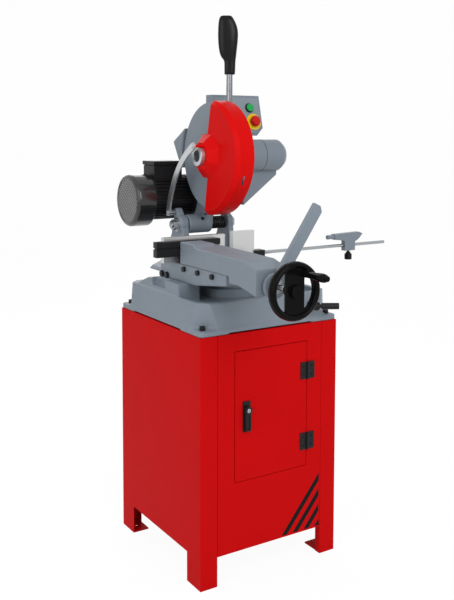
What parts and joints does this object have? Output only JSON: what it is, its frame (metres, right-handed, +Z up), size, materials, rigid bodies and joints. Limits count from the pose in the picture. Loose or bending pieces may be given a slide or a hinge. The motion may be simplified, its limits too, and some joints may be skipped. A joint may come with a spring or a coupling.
{
  "type": "cold saw",
  "caption": "Manual cold saw: red sheet-metal cabinet with door, grey cast base, mitre turntable, quick-action vise, pull-down saw head with guarded blade and material stop.",
  "frame": {"origin": "on the floor, in the middle of the four anchor holes under the cabinet", "axes": "+X right along the front, +Y to the back, +Z up"},
  "size_m": [0.997, 1.1223, 1.809],
  "materials": {
    "cabinet_red": "satin red powder coat",
    "guard_red": "glossy red paint",
    "machine_grey": "blue-grey machine enamel",
    "black_paint": "satin black",
    "bright_steel": "bright",
    "dark_steel": "dark",
    "jaw_steel": "ground",
    "bronze": "bronze",
    "grip_black": "black plastic",
    "start_green": "gloss green",
    "collar_yellow": "gloss yellow",
    "estop_red": "gloss red",
    "hub_silver": "satin"
  },
  "bodies": {
    "stand": {"left_side_panel": "cabinet_red", "right_side_panel": "cabinet_red", "front_panel": "cabinet_red", "back_panel": "cabinet_red", "top_plate": "cabinet_red", "shelf": "cabinet_red", "foot_plates": "cabinet_red", "hinge_frame_leaves": "black_paint", "base_casting": "machine_grey", "casting_bolts": "black_paint", "vise_bed": "machine_grey", "bed_screws": "black_paint", "fixed_jaw_left": "jaw_steel", "fixed_jaw_right": "jaw_steel", "vise_nut": "bronze", "stop_bracket": "dark_steel", "stop_rod": "bright_steel"},
    "door": {"door": "cabinet_red", "hinge_door_leaves": "black_paint", "latch_plate": "black_paint"},
    "latch": {"latch_handle": "black_paint", "latch_tongue": "bright_steel"},
    "swivel": {"turntable": "machine_grey", "swivel_clamp_ring": "dark_steel", "column": "machine_grey", "pivot_shaft": "bright_steel", "pivot_nuts": "dark_steel", "return_spring": "black_paint"},
    "lock": {"lock_lever": "grip_black"},
    "carriage": {"vise_carriage": "machine_grey", "moving_jaw": "black_paint"},
    "screw": {"vise_screw": "bright_steel", "handwheel": "grip_black"},
    "crank": {"crank_grip": "grip_black"},
    "clamp": {"clamp_lever": "dark_steel"},
    "stop": {"stop_clamp": "dark_steel"},
    "knob": {"stop_knob": "grip_black"},
    "head": {"gear_case": "machine_grey", "gear_cover": "machine_grey", "cover_screws": "black_paint", "fixed_guard": "machine_grey", "hub_ring": "hub_silver", "motor_frame": "black_paint", "fan_cover": "black_paint", "terminal_box": "black_paint", "control_box": "machine_grey", "estop_collar": "collar_yellow", "lever_tube": "bright_steel", "lever_grip": "grip_black"},
    "guard": {"moving_guard": "guard_red"},
    "link": {"guard_link": "bright_steel"},
    "blade": {"spindle": "bright_steel", "saw_blade": "bright_steel", "blade_flanges": "dark_steel", "worm_wheel": "bronze"},
    "worm": {"worm_shaft": "dark_steel"},
    "rotor": {"motor_rotor": "dark_steel", "motor_fan": "grip_black"},
    "start": {"start_button": "start_green"},
    "estop": {"estop_button": "estop_red"}
  },
  "joints": [
    {"name": "door_hinge", "type": "hinge", "parent": "stand", "child": "door", "pos_m": [0.142, -0.2805, 0.52], "axis": [0, 0, 1], "range_deg": [0, 110]},
    {"name": "latch_turn", "type": "hinge", "parent": "door", "child": "latch", "pos_m": [-0.0955, -0.28, 0.545], "axis": [0, -1, 0], "range_deg": [0, 90]},
    {"name": "mitre_swivel", "type": "hinge", "parent": "stand", "child": "swivel", "pos_m": [0, -0.02, 0.87], "axis": [0, 0, 1], "range_deg": [-45, 0]},
    {"name": "lock_turn", "type": "hinge", "parent": "stand", "child": "lock", "pos_m": [0.16, -0.28, 0.848], "axis": [0, -1, 0], "range_deg": [0, 60]},
    {"name": "head_pivot", "type": "hinge", "parent": "swivel", "child": "head", "pos_m": [0, 0.205, 1.08], "axis": [1, 0, 0], "range_deg": [0, 50], "stiffness_Nm_per_rad": 60, "springref_deg": -28.65},
    {"name": "guard_turn", "type": "hinge", "parent": "head", "child": "guard", "pos_m": [-0.04, 0.066, 1.326], "axis": [1, 0, 0], "range_deg": [-86, 0]},
    {"name": "link_swing", "type": "hinge", "parent": "swivel", "child": "link", "pos_m": [-0.098, 0.228, 1.123], "axis": [1, 0, 0], "range_deg": [0, 45]},
    {"name": "blade_spin", "type": "hinge", "parent": "head", "child": "blade", "pos_m": [0, 0.066, 1.326], "axis": [1, 0, 0], "continuous": true},
    {"name": "worm_spin", "type": "hinge", "parent": "head", "child": "worm", "pos_m": [0.075, 0.33, 1.163], "axis": [0, -0.7332, 0.68], "continuous": true},
    {"name": "rotor_spin", "type": "hinge", "parent": "head", "child": "rotor", "pos_m": [0, 0.33, 1.163], "axis": [1, 0, 0], "continuous": true},
    {"name": "start_press", "type": "slide", "parent": "head", "child": "start", "axis": [0, 0.9705, -0.241], "range_m": [0, 0.004], "stiffness_N_per_m": 500},
    {"name": "estop_press", "type": "slide", "parent": "head", "child": "estop", "axis": [0, 0.9705, -0.241], "range_m": [0, 0.004], "stiffness_N_per_m": 600},
    {"name": "vise_slide", "type": "slide", "parent": "stand", "child": "carriage", "axis": [0, -1, 0], "range_m": [-0.004, 0.12]},
    {"name": "screw_turn", "type": "hinge", "parent": "carriage", "child": "screw", "pos_m": [-0.15, -0.594, 0.974], "axis": [0, -1, 0], "range_deg": [-300, 8700]},
    {"name": "crank_spin", "type": "hinge", "parent": "screw", "child": "crank", "pos_m": [-0.125, -0.64, 1.022], "axis": [0, -1, 0], "continuous": true},
    {"name": "clamp_swing", "type": "hinge", "parent": "carriage", "child": "clamp", "pos_m": [-0.15, -0.5, 0.974], "axis": [0, 1, 0], "range_deg": [-60, 30]},
    {"name": "stop_slide", "type": "slide", "parent": "stand", "child": "stop", "axis": [1, 0, 0], "range_m": [-0.15, 0.1]},
    {"name": "knob_turn", "type": "hinge", "parent": "stop", "child": "knob", "pos_m": [0.532, -0.01, 0.94], "axis": [0, 0, 1], "continuous": true}
  ],
  "couplings": [
    {"joint": "guard_turn", "follows": "head_pivot", "ratio": -1.708},
    {"joint": "link_swing", "follows": "head_pivot", "ratio": 0.884},
    {"joint": "worm_spin", "follows": "blade_spin", "ratio": 30},
    {"joint": "rotor_spin", "follows": "blade_spin", "ratio": -30},
    {"joint": "screw_turn", "follows": "vise_slide", "rad_per_m": 1256.6}
  ]
}
